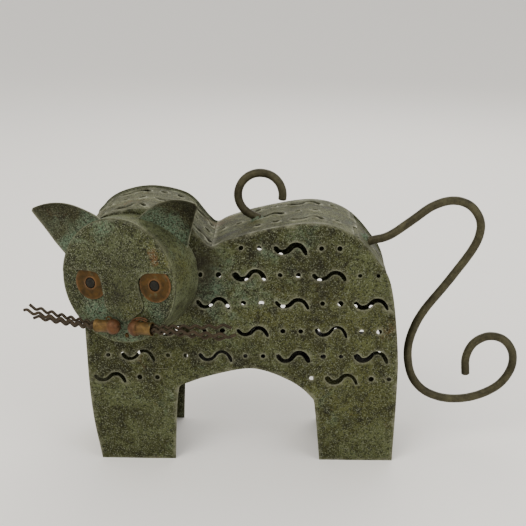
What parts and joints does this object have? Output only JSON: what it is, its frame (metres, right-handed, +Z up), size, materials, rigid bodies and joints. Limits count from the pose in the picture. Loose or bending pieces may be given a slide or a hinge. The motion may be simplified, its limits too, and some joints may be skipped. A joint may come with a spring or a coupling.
{
  "type": "cat candle lantern",
  "caption": "Pierced sheet-metal cat lantern with a hinged back lid, a curl handle, a candle cup inside and a curled rod tail.",
  "frame": {"origin": "centre of the whole lantern's box at floor level, feet standing on Z = 0", "axes": "+X along the body from the head to the tail, +Y across it away from the face, +Z up"},
  "size_m": [0.299, 0.0906, 0.1774],
  "materials": {
    "patina_sheet": "mottled grey-green verdigris patina over dark steel, matt with worn edges",
    "ear_sheet": "dark olive brown patina, teal verdigris at the foot",
    "aged_copper": "dull brown copper, partly tarnished",
    "dark_rod": "dark bronze brown rod with green traces",
    "dark_iron": "blackened iron",
    "plain_steel": "dull sheet steel, smoke-stained"
  },
  "bodies": {
    "body": {"side_panel_left": "patina_sheet", "side_panel_right": "patina_sheet", "chest_strip": "patina_sheet", "rear_strip": "patina_sheet", "hinge_knuckle_left": "dark_iron", "hinge_knuckle_right": "dark_iron", "hinge_pin": "dark_iron", "tail_rod": "dark_rod", "belly_tray": "plain_steel", "candle_cup": "plain_steel", "face_disc": "patina_sheet", "head_band": "patina_sheet", "brow_plate": "patina_sheet", "eye_washer_left": "aged_copper", "eye_washer_right": "aged_copper", "eye_pupil_left": "dark_iron", "eye_pupil_right": "dark_iron", "chin_rivet": "aged_copper", "muzzle_cap_left": "aged_copper", "muzzle_cap_right": "aged_copper", "ear_left": "ear_sheet", "ear_right": "ear_sheet", "whisker_left_upper": "dark_rod", "whisker_left_middle": "dark_rod", "whisker_left_lower": "dark_rod", "whisker_right_upper": "dark_rod", "whisker_right_middle": "dark_rod", "whisker_right_lower": "dark_rod"},
    "lid": {"back_lid": "patina_sheet", "hinge_knuckle_lid": "dark_iron", "curl_handle": "dark_rod"}
  },
  "joints": [
    {"name": "lid_hinge", "type": "hinge", "parent": "body", "child": "lid", "pos_m": [0.04469, 0.01733, 0.14225], "axis": [0, 1, 0], "range_deg": [0, 105]}
  ]
}
